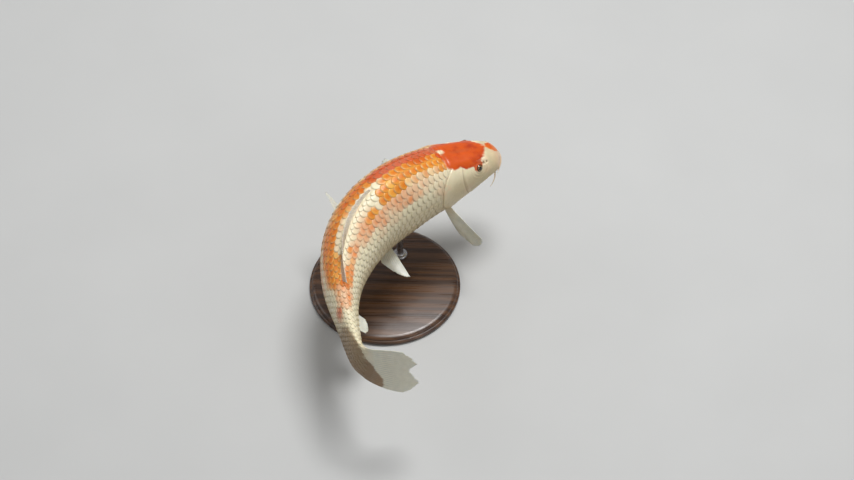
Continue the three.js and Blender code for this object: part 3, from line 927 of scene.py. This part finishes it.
# Marks on the body, each (distance behind the nose, degrees round from the back, half length, half width,
# turn, softness, strength): a white koi with red and orange
markings = {
    "red": [
        (60, 0, 38, 37, 0, 0.08, 1.0), (43, 44, 9.5, 18, -8, 0.16, 0.95), (43, -44, 9.5, 18, 8, 0.16, 1.0),
        (80, 22, 19, 14, 0, 0.15, 1.0), (84, -8, 24, 30, 0, 0.15, 1.0), (58, 35, 17, 11, 0, 0.15, 1.0),
        (150, -18, 62, 16, -2, 0.3, 0.9), (190, -22, 36, 13, -8, 0.3, 0.9), (176, -72, 38, 20, 0, 0.2, 0.95),
        (215, -80, 26, 26, 0, 0.2, 0.95), (248, -28, 34, 12, -6, 0.5, 0.55),
        (330, -46, 52, 18, -4, 0.5, 0.35), (436, -44, 6.5, 15, 0, 0.5, 0.65), (98, -75, 15, 12, 0, 0.18, 0.8),
        (397, 0, 4, 30, 0, 0.5, 0.45),
    ],
    "orange": [
        (138, 6, 50, 20, 0, 0.2, 1.0), (120, 20, 24, 13, 0, 0.3, 0.95), (160, 20, 30, 15, 0, 0.3, 0.9),
        (196, 17, 36, 22, 4, 0.18, 1.0), (222, 32, 10, 8, 0, 0.35, 0.9), (152, -38, 58, 17, 0, 0.3, 0.9),
        (256, -33, 62, 22, -6, 0.25, 1.0), (326, -42, 56, 23, -4, 0.25, 1.0),
        (370, -30, 32, 29, 12, 0.25, 1.0), (389, -4, 12, 15, 0, 0.3, 1.0), (391, 16, 11, 17, 0, 0.4, 0.8),
        (258, 28, 14, 9, 10, 0.4, 0.95), (276, 36, 9, 5, 0, 0.5, 0.6), (308, 13, 6, 4, 0, 0.5, 0.6),
        (338, 15, 8, 4, 0, 0.5, 0.6), (362, 23, 16, 9, 0, 0.6, 0.55), (410, -24, 8, 7, 0, 0.5, 0.6),
        (300, -76, 34, 14, 0, 0.4, 0.8),
    ],
    "salmon": [
        (190, 46, 52, 13, 0, 0.4, 0.9), (250, 40, 27, 21, 0, 0.4, 1.0), (292, 32, 34, 19, 0, 0.4, 0.95),
        (337, 27, 26, 15, 0, 0.4, 0.85), (376, 24, 28, 18, 0, 0.4, 1.0), (415, 0, 23, 36, 0, 0.35, 0.95),
        (136, 36, 30, 9, 0, 0.5, 0.7), (225, 62, 18, 8, 0, 0.6, 0.4), (268, 66, 14, 7, 0, 0.6, 0.35),
        (318, -16, 24, 9, 0, 0.5, 0.6), (346, -25, 11, 6, 0, 0.5, 0.8), (272, -2, 26, 8, 0, 0.5, 0.45),
        (436, -46, 12, 20, 0, 0.5, 0.6), (360, -82, 24, 14, 0, 0.5, 0.6), (120, 66, 14, 14, 0, 0.5, 0.3),
    ],
    "white": [
        (97, -4, 7.5, 6, 0, 0.3, 0.95), (238, 0, 31, 11, -4, 0.18, 1.0), (240, 18, 12, 15, 0, 0.2, 1.0),
        (236, 34, 6, 6, 0, 0.3, 0.9), (282, -5, 32, 9, -6, 0.3, 0.85), (322, -10, 22, 11, 0, 0.35, 0.8),
        (302, 9, 34, 10, 0, 0.4, 0.75), (350, 9, 17, 9, 4, 0.4, 0.75), (118, 38, 24, 5, 4, 0.5, 0.8),
        (129, 24, 10, 5, 0, 0.5, 0.55), (152, 26, 11, 5, 0, 0.5, 0.65), (170, 31, 8, 5, 0, 0.5, 0.6),
        (160, 44, 7, 6, 0, 0.4, 0.8), (452, -6, 13, 30, 0, 0.4, 0.8),
    ],
    # painted shade: the first four darken the tail stalk's left flank brown as if in shadow, the last two
    # darken a small patch by each eye
    "shade": [
        (490, -90, 38, 76, 0, 0.12, 0.88), (506, -150, 56, 66, 0, 0.12, 0.88),
        (480, -94, 42, 66, 0, 0.45, 0.55), (496, -150, 56, 60, 0, 0.45, 0.55),
        (39, 49, 4.5, 11, -15, 0.5, 0.35), (39, -49, 4.5, 11, 15, 0.5, 0.35),
    ],
    "bright": [(561, -48, 50, 120, 22, 0.04, 1.0)],     # clears the dusky shade behind a slanting line
}
warps = [(3.2, 2.0, 0.16), (13.0, 3.0, 0.07)]           # scale, detail and amount of the marks' ragged edges

# The head's rows of pores, each a ring (distance behind the nose, degrees, half length, half width, pores)
poreRings = [(44, 57, 14.5, 24, 34), (44, -57, 14.5, 24, 34), (34, 92, 36, 42, 72), (34, -92, 36, 42, 72),
             (58, 0, 42, 34, 76)]


# Places on the body are (distance / 100, degrees / 100) in the marks and the pores
def bodyPatch(group, place, along, around, halfLength, halfWidth, turn=0.0):
    middle, size = (along / 100, around / 100, 0), (halfLength / 100, halfWidth / 100, 1)
    return patchDistance(group, place, middle, size, turn)


def makeMarkings():
    group, start, ends = newGroup("koiMarkings", ("red", "orange", "salmon", "shade"))
    place = start
    for scale, detail, amount in warps:
        centred = vectors(group, "SUBTRACT", noise(group, start, scale, detail, "Color"), (0.5, 0.5, 0.5))
        place = vectors(group, "ADD", place, vectors(group, "MULTIPLY", centred, (amount, amount, amount)))
    flat = vectors(group, "MULTIPLY", place, (1, 1, 0))
    masks = {}
    for name, patches in markings.items():
        masks[name] = 0.0
        for *ellipse, softness, strength in patches:
            distance = bodyPatch(group, flat, *ellipse)[0]
            mask = ranged(group, distance, 1 + softness, 1 - softness, 0.0, strength)
            masks[name] = maths(group, "MAXIMUM", masks[name], mask)
    clear = maths(group, "SUBTRACT", 1.0, masks["white"], clamp=True)
    dim = maths(group, "SUBTRACT", 1.0, masks["bright"], clamp=True)
    for name, kept in (("red", clear), ("orange", clear), ("salmon", clear), ("shade", dim)):
        group.links.new(times(group, masks[name], kept), ends[name])
    return group


def makePores():
    group, start, ends = newGroup("koiPores", ("pores",))
    total = 0.0
    for along, around, halfLength, halfWidth, count in poreRings:
        distance, inside = bodyPatch(group, start, along, around, halfLength, halfWidth)
        off = times(group, maths(group, "SUBTRACT", distance, 1.0), halfLength)
        parts = partsOf(group, inside)
        turn = maths(group, "ARCTAN2", parts[1], parts[0])
        step = maths(group, "PINGPONG", times(group, turn, count / (2 * math.pi)), 0.5)
        between = times(group, step, 2 * math.pi * halfLength / count)
        square = timesPlus(group, off, off, times(group, between, between))
        total = maths(group, "MAXIMUM", total, ranged(group, maths(group, "SQRT", square), 0.62, 0.28))
    behind = partsOf(group, start)[0]
    group.links.new(times(group, total, ranged(group, behind, 0.18, 0.27)), ends["pores"])
    return group


koiMarkings, koiPores = makeMarkings(), makePores()

koiColours = {
    # belly and cheek: darker beige, partly the fish's own cream and partly painted shade; the last two browns
    # are painted shade
    "white": (0.86, 0.765, 0.53, 1), "belly": (0.63, 0.485, 0.285, 1), "cheek": (0.62, 0.51, 0.305, 1),
    "blush": (0.74, 0.46, 0.30, 1), "salmon": (0.82, 0.27, 0.085, 1), "orange": (0.74, 0.20, 0.012, 1),
    "yellow": (0.84, 0.42, 0.07, 1), "red": (0.63, 0.072, 0.005, 1), "headRed": (0.65, 0.088, 0.005, 1),
    "deepRed": (0.44, 0.040, 0.006, 1), "edge": (0.46, 0.33, 0.20, 1), "shade": (0.23, 0.125, 0.05, 1),
    "creaseShade": (0.22, 0.12, 0.07, 1),
}
wetSkin = {"Specular IOR Level": 0.26, "Coat Weight": 0.22, "Coat Roughness": 0.15,
           "Subsurface Radius": (0.005, 0.002, 0.001), "Subsurface Scale": 1.0}


# The body's own place as (distance / 100, degrees / 100), from one of its maps
def bodyPlace(tree, mapName):
    parts = partsOf(tree, mapSpot(tree, mapName))
    along = times(tree, parts[1], carp["length"] / 100)
    around = timesPlus(tree, parts[0], 3.6, -1.8)
    return link(tree, "ShaderNodeCombineXYZ", {0: along, 1: around}).outputs[0], along, around


# The skin's ground colour turns darker beige towards the belly and on the cheeks and snout, partly the fish's
# own cream and partly painted shade of the underside; near the tail it takes the fins' web colour
def groundColour(tree, along, around):
    turn = maths(tree, "ABSOLUTE", around)
    onCheek = times(tree, ranged(tree, along, 1.15, 0.9), ranged(tree, turn, 0.45, 0.8))
    onHead = maths(tree, "MAXIMUM", onCheek, ranged(tree, along, 0.34, 0.2))
    return layered(tree, koiColours["white"], [
        (ranged(tree, turn, 0.5, 1.4), koiColours["belly"]),
        (times(tree, onHead, 0.8), koiColours["cheek"]),
        (ranged(tree, along, 5.0, 5.28, 0.0, 0.75), finColours["web"]),
    ])


noseSpot = {"along": 8, "around": -6, "turn": 20, "size": (12.5, 8.0, 13)}


def makeSkinMaterial():
    material, tree, spots = newMaterial("koi_skin", {**wetSkin, "Subsurface Weight": 0.08})
    place, along, around = bodyPlace(tree, "bodyMap")
    marks = link(tree, "ShaderNodeGroup", {0: place}, node_tree=koiMarkings).outputs
    mottle = noise(tree, spots, 90.0, 4.0)
    cloud = noise(tree, spots, 28.0, 3.0)
    patchy = noise(tree, spots, 55.0, 4.0)
    lips = ranged(tree, along, 0.22, 0.02, 0.0, 0.55)
    blush = maths(tree, "ADD", ranged(tree, cloud, 0.5, 0.75, 0.0, 0.35), lips, clamp=True)
    red = mixed(tree, ranged(tree, patchy, 0.42, 0.72), koiColours["headRed"], koiColours["deepRed"])
    noseMiddle = bodyPoints(noseSpot["along"], noseSpot["around"]) * mm
    noseOff = patchDistance(tree, spots, noseMiddle, Vector(noseSpot["size"]) * mm, noseSpot["turn"])[0]
    noseOff = timesPlus(tree, patchy, 1.4, timesPlus(tree, mottle, 0.5, noseOff))
    noseRed = mixed(tree, ranged(tree, patchy, 0.3, 0.6), koiColours["headRed"], koiColours["orange"])
    colour = layered(tree, groundColour(tree, along, around), [
        (blush, koiColours["blush"]),
        (times(tree, marks["salmon"], ranged(tree, mottle, 0.35, 0.65)), koiColours["salmon"]),
        (times(tree, marks["orange"], 0.85), koiColours["orange"]),
        (marks["red"], red),
        (ranged(tree, noseOff, 2.05, 1.80), noseRed),
        # painted shade on the stalk's left flank, and the dark patches by the eyes
        (marks["shade"], koiColours["shade"]),
    ])
    # the canals come after the colours, because before them they overfill the renderer's stack
    canals = link(tree, "ShaderNodeGroup", {0: place}, node_tree=koiPores).outputs[0]
    # painted shade: the skin is darkened in its creases and hollows by their depth, and along the rows of
    # pores
    creaseShade = ranged(tree, partsOf(tree, mapSpot(tree, "creaseShadeMap"))[0], 0.05, 0.9)
    creaseShade = maths(tree, "MAXIMUM", creaseShade, times(tree, canals, 0.35))
    colour = mixed(tree, times(tree, creaseShade, 0.85), colour, koiColours["creaseShade"])
    colour = darkened(tree, 0.25, colour, ranged(tree, mottle, 0.2, 0.8, 0.55, 1.0))
    grain = link(tree, "ShaderNodeTexVoronoi", {"Vector": spots, "Scale": 700.0}).outputs["Distance"]
    height = maths(tree, "SUBTRACT", maths(tree, "ADD", times(tree, grain, 0.45), mottle), canals)
    paintOn(tree, colour, ranged(tree, mottle, 0.2, 0.8, 0.26, 0.42), (height, 0.3, 0.0007))
    return material


def makeScaleMaterial():
    material, tree, spots = newMaterial("koi_scale", {**wetSkin, "Subsurface Weight": 0.06})
    own, along, around = bodyPlace(tree, "bodyMap")
    root = bodyPlace(tree, "rootMap")[0]
    place = link(tree, "ShaderNodeMix", {0: 0.7, 4: own, 5: root}, data_type="VECTOR").outputs[1]
    marks = link(tree, "ShaderNodeGroup", {0: place}, node_tree=koiMarkings).outputs
    chance = link(tree, "ShaderNodeTexWhiteNoise", {"Vector": root}, noise_dimensions="3D").outputs["Value"]
    mottle = noise(tree, spots, 160.0, 3.0)
    cloud = noise(tree, spots, 60.0, 3.0)
    scaleSpot = mapSpot(tree, "scaleMap")
    parts = partsOf(tree, scaleSpot)
    across, rear = maths(tree, "ABSOLUTE", timesPlus(tree, parts[0], 2.0, -1.0)), parts[1]
    rim = maths(tree, "MAXIMUM", ranged(tree, rear, 0.80, 1.0), ranged(tree, across, 0.72, 1.0))
    heart = times(tree, ranged(tree, across, 0.85, 0.1), ranged(tree, rear, 0.98, 0.62))
    patchy = timesPlus(tree, chance, 0.5, ranged(tree, cloud, 0.35, 0.65, 0.0, 0.65), clamp=True)
    salmonShare = timesPlus(tree, patchy, timesPlus(tree, heart, 0.4, 0.35), 0.42)
    pale = ranged(tree, chance, 0.72, 0.95, 0.0, 0.8)
    ripe = maths(tree, "SUBTRACT", timesPlus(tree, heart, 0.6, 0.4), pale, clamp=True)
    net = mixed(tree, ripe, koiColours["yellow"], koiColours["orange"])
    red = mixed(tree, ranged(tree, chance, 0.55, 0.95, 0.0, 0.7), koiColours["red"], koiColours["deepRed"])
    plain = maths(tree, "SUBTRACT", 1.0, maths(tree, "MAXIMUM", marks["red"], marks["orange"]))
    seam = times(tree, ranged(tree, rear, 0.93, 1.0), timesPlus(tree, plain, 0.11, 0.05))
    poreRow = link(tree, "ShaderNodeAttribute", attribute_name="poreRow").outputs["Fac"]
    dash = times(tree, ranged(tree, across, 0.14, 0.05), ranged(tree, rear, 0.55, 0.62),
                 ranged(tree, rear, 0.9, 0.8), poreRow, 0.5)
    colour = layered(tree, groundColour(tree, along, around), [
        (times(tree, marks["salmon"], salmonShare), koiColours["salmon"]),
        (times(tree, marks["orange"], timesPlus(tree, rim, -0.35, 1.0)), net),
        (times(tree, marks["red"], timesPlus(tree, rim, -0.15, 1.0)), red),
        # painted shade on the stalk's left flank
        (times(tree, marks["shade"], 0.9), koiColours["shade"]),
        (seam, koiColours["edge"]),
        (dash, koiColours["edge"]),
    ])
    colour = darkened(tree, 1.0, colour, timesPlus(tree, chance, 0.10, 0.90))
    ringSettings = {"Vector": scaleSpot, "Scale": 9.0, "Distortion": 1.5}
    rings = link(tree, "ShaderNodeTexWave", ringSettings, wave_type="RINGS").outputs[0]
    height = maths(tree, "ADD", times(tree, rings, 0.3), mottle)
    paintOn(tree, colour, ranged(tree, mottle, 0.2, 0.8, 0.24, 0.40), (height, 0.18, 0.0004))
    return material


finColours = {
    "web": (0.72, 0.73, 0.64, 1), "ray": (0.80, 0.77, 0.65, 1), "root": (0.76, 0.67, 0.50, 1),
    # blush is the dorsal fin's pink, made lighter as painted light; rear is painted shade on its rear; shade
    # is painted shade on the tail fin's root
    "shade": (0.24, 0.135, 0.055, 1), "blush": (0.97, 0.84, 0.71, 1), "rear": (0.46, 0.35, 0.26, 1),
    # how far out the tail fin gets painted shade (as a share of the ray) from its lower edge up
    "paintedShadeEdge": [(0, 0.56), (0.14, 0.48), (0.33, 0.39), (0.54, 0.28), (0.69, 0.20), (0.87, 0.05), (1, 0.0)],
}


# Share of painted shade on the tail fin, from its lower root out to a slanting line
def paintedShadeShare(tree, phase, along, mottle):
    share = maths(tree, "DIVIDE", phase, fins["fin_tail"]["rays"])
    reach = link(tree, "ShaderNodeFloatCurve", {"Value": share})
    points = reach.mapping.curves[0].points
    edge = finColours["paintedShadeEdge"]
    points[0].location, points[1].location = edge[0], edge[-1]
    for spot in edge[1:-1]:
        points.new(*spot)
    reach.mapping.update()
    behind = timesPlus(tree, mottle, 0.05, maths(tree, "SUBTRACT", along, reach.outputs[0]))
    return times(tree, ranged(tree, behind, 0.05, 0.0), 0.85)


# The lower root of the tail fin carries on the stalk's painted shade; the dorsal fin is pale pink, its own
# pink lightened as painted light, and turns grey-brown at the rear as painted shade
def makeFinMaterial(name, node=""):
    material, tree, spots = newMaterial(name, {
        "Roughness": 0.4, "IOR": 1.38, "Coat Weight": 0.2, "Coat Roughness": 0.2,
        "Subsurface Weight": 0.3, "Subsurface Radius": (0.004, 0.003, 0.002), "Subsurface Scale": 1.0})
    mottle = noise(tree, spots, 120.0, 3.0)
    parts = partsOf(tree, mapSpot(tree, "finMap"))
    phase, along = times(tree, parts[0], finForm["mapRays"]), parts[1]
    splitStart, splitEnd, splitStep = finForm["split"]
    split = ranged(tree, along, splitStart, splitEnd, 0.0, splitStep)
    off = maths(tree, "ABSOLUTE", maths(tree, "SUBTRACT", maths(tree, "PINGPONG", phase, 0.5), split))
    ray = ranged(tree, off, 0.14, 0.04)
    layers = [(ray, finColours["ray"]), (ranged(tree, along, 0.35, 0.0), finColours["root"])]
    # painted shade on the tail fin's lower root
    if node == "fin_tail":
        layers.append((paintedShadeShare(tree, phase, along, mottle), finColours["shade"]))
    # the dorsal fin: pale pink all over, partly its own pink and partly painted light on its shaded side,
    # with its rear turned grey-brown as painted shade
    if node == "fin_dorsal":
        dark = times(tree, ranged(tree, phase, 6.5, 11.0), ranged(tree, along, 1.05, 0.7, 0.3, 0.8))
        layers += [(0.8, finColours["blush"]), (dark, finColours["rear"])]
    colour = layered(tree, finColours["web"], layers)
    colour = darkened(tree, 0.25, colour, ranged(tree, mottle, 0.25, 0.75, 0.6, 1.0))
    joints = maths(tree, "SINE", times(tree, along, 240.0))
    height = maths(tree, "ADD", times(tree, joints, ray, 0.3), ray)
    paintOn(tree, colour, None, (height, 0.3, 0.0004))
    solid = maths(tree, "ADD", timesPlus(tree, ray, 0.10, 0.86), ranged(tree, along, 0.6, 0.1, 0.0, 0.2),
                  clamp=True)
    tree.links.new(solid, tree.nodes["Principled BSDF"].inputs["Alpha"])
    return material


eyeColours = {"dark": (0.07, 0.03, 0.012, 1), "gold": (0.24, 0.12, 0.035, 1), "outer": (0.07, 0.035, 0.02, 1),
              "ring": (0.70, 0.42, 0.12, 1), "pupil": (0.004, 0.004, 0.005, 1)}


def makeEyeMaterial():
    material, tree, spots = newMaterial("koi_eye", {"IOR": 1.4, "Coat Weight": 1.0, "Coat Roughness": 0.03})
    mottle = noise(tree, spots, 900.0, 4.0)
    polar = partsOf(tree, mapSpot(tree, "eyeMap"))[1]
    colour = layered(tree, eyeColours["dark"], [
        (ranged(tree, mottle, 0.35, 0.65), eyeColours["gold"]),
        (ranged(tree, polar, 0.19, 0.26), eyeColours["outer"]),
        (ranged(tree, polar, 0.172, 0.16), eyeColours["ring"]),
        (ranged(tree, polar, 0.158, 0.15), eyeColours["pupil"]),
    ])
    paintOn(tree, colour, ranged(tree, mottle, 0.3, 0.7, 0.1, 0.2))
    return material


barbelColours = {"dark": (0.74, 0.56, 0.40, 1), "pale": (0.80, 0.70, 0.56, 1)}


def makeBarbelMaterial():
    material, tree, spots = newMaterial("koi_barbel", {
        "Roughness": 0.36, "IOR": 1.4, "Coat Weight": 0.4, "Coat Roughness": 0.15, "Subsurface Weight": 0.2,
        "Subsurface Radius": (0.004, 0.002, 0.001), "Subsurface Scale": 1.0})
    mottle = noise(tree, spots, 300.0, 3.0)
    colour = mixed(tree, ranged(tree, mottle, 0.3, 0.7), barbelColours["dark"], barbelColours["pale"])
    paintOn(tree, colour, None, (mottle, 0.2, 0.0004))
    return material


woodColours = {"dark": (0.040, 0.017, 0.008, 1), "pale": (0.105, 0.048, 0.021, 1),
               "fibre": (0.025, 0.011, 0.006, 1), "glow": (0.13, 0.06, 0.026, 1)}


def makeWoodMaterial():
    material, tree, spots = newMaterial("display_wood", {"Coat Weight": 0.15, "Coat Roughness": 0.25})
    grainTurn = (0.05, 0.03, 0.35)
    plank = stretched(tree, spots, (3.0, 26.0, 26.0), grainTurn)
    bend = noise(tree, plank, 1.1, 4.0)
    ringSettings = {"Vector": plank, "Scale": 0.8, "Distortion": 9.0, "Detail": 3.0, "Detail Scale": 1.4}
    rings = link(tree, "ShaderNodeTexWave", ringSettings, bands_direction="Y").outputs[0]
    fibres = noise(tree, stretched(tree, spots, (14.0, 420.0, 420.0), grainTurn), 1.0, 4.0)
    colour = layered(tree, woodColours["dark"], [
        (ranged(tree, rings, 0.1, 0.9), woodColours["pale"]),
        (times(tree, ranged(tree, fibres, 0.45, 0.7), 0.6), woodColours["fibre"]),
        (times(tree, ranged(tree, bend, 0.4, 0.8), 0.3), woodColours["glow"]),
    ])
    paintOn(tree, colour, ranged(tree, fibres, 0.3, 0.7, 0.24, 0.42), (fibres, 0.15, 0.0004))
    return material


steelColours = {"dark": (0.48, 0.48, 0.49, 1), "pale": (0.60, 0.60, 0.61, 1)}


def makeSteelMaterial():
    material, tree, spots = newMaterial("display_steel", {"Metallic": 1.0})
    lines = noise(tree, stretched(tree, spots, (60.0, 60.0, 2400.0)), 1.0, 3.0)
    colour = mixed(tree, lines, steelColours["dark"], steelColours["pale"])
    paintOn(tree, colour, ranged(tree, lines, 0.3, 0.7, 0.22, 0.36), (lines, 0.03, 0.0002))
    return material


floorColours = {"dark": (0.50, 0.505, 0.50, 1), "pale": (0.54, 0.545, 0.54, 1)}


def makeFloorMaterial():
    material, tree, spots = newMaterial("studio_floor", {"Roughness": 0.7})
    grain = noise(tree, spots, 6.0, 5.0)
    paintOn(tree, mixed(tree, grain, floorColours["dark"], floorColours["pale"]))
    return material


skinFinish, scaleFinish = makeSkinMaterial(), makeScaleMaterial()
finFinish = makeFinMaterial("koi_fin")
finFinishes = {"fin_tail": makeFinMaterial("koi_tail_fin", "fin_tail"),
               "fin_dorsal": makeFinMaterial("koi_dorsal_fin", "fin_dorsal")}
eyeFinish, barbelFinish = makeEyeMaterial(), makeBarbelMaterial()
woodFinish, steelFinish = makeWoodMaterial(), makeSteelMaterial()
print("materials made")


def settle(piece, material, slot, *nodes):
    piece.data.materials.clear()
    piece.data.materials.append(material)
    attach(piece, "root")
    if nodes:
        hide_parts(*nodes)


settle(skin, skinFinish, "koi_skin", "head", "lower_jaw", "gill_cover_right", "gill_cover_left",
       "trunk_front", "trunk_middle", "trunk_rear", "tail_stalk")
settle(scalesRight, scaleFinish, "koi_skin")
settle(scalesLeft, scaleFinish, "koi_skin")
for name, piece in finPieces.items():
    settle(piece, finFinishes.get(name, finFinish), "fin", name)
for name, piece in barbelPieces.items():
    settle(piece, barbelFinish, "barbel", name)
for name, piece in eyePieces.items():
    settle(piece, eyeFinish, "eye", name)
settle(base, woodFinish, "base_wood", "stand_base")
settle(rodFront, steelFinish, "rod_steel", "stand_rod_front")
settle(rodRear, steelFinish, "rod_steel", "stand_rod_rear")
print("pieces settled")

studio = {
    "floorSize": 30.0, "lit": (0, 0, 0.12),
    "key": {"place": (0.55, 0.7, 2.95), "size": 1.3, "power": 76},
    "fill": {"place": (1.9, -1.7, 1.9), "size": 1.6, "power": 8},
    "side": {"place": (-2.2, 0.9, 1.8), "size": 1.4, "power": 9},
    "surround": (0.89, 0.885, 0.88, 1), "surroundStrength": 0.34,
    "view": {"target": (0.0625, -0.0355, 0.151), "elevation": 50, "distance": 5.0, "width": 1.2377},
}


def makeFloor():
    bm = bmesh.new()
    bmesh.ops.create_grid(bm, x_segments=1, y_segments=1, size=studio["floorSize"] / 2)
    mesh = bpy.data.meshes.new("studio_floor")
    bm.to_mesh(mesh)
    bm.free()
    mesh.materials.append(makeFloorMaterial())
    addObject("studio_floor", mesh)


def makeLight(name, settings):
    data = bpy.data.lights.new(name, "AREA")
    data.shape = "DISK"
    data.size = settings["size"]
    data.energy = settings["power"]
    lamp = addObject(name, data)
    lamp.location = settings["place"]
    lamp.rotation_euler = (Vector(studio["lit"]) - lamp.location).to_track_quat("-Z", "Y").to_euler()


def makeCamera():
    view = studio["view"]
    data = bpy.data.cameras.new("camera")
    data.sensor_width = 36
    data.lens = data.sensor_width * view["distance"] / view["width"]
    camera = addObject("camera", data)
    rise = math.radians(view["elevation"])
    target = Vector(view["target"])
    camera.location = target + view["distance"] * Vector((0, -math.cos(rise), math.sin(rise)))
    camera.rotation_euler = (math.radians(90) - rise, 0, 0)
    bpy.context.scene.camera = camera


makeFloor()
for name in ("key", "fill", "side"):
    makeLight("light_" + name, studio[name])
world = bpy.data.worlds.new("studio")
bpy.context.scene.world = world
world.use_nodes = True
surround = world.node_tree.nodes["Background"]
surround.inputs["Color"].default_value = studio["surround"]
surround.inputs["Strength"].default_value = studio["surroundStrength"]
makeCamera()
bpy.context.scene.view_settings.view_transform = "Standard"
print("studio made")
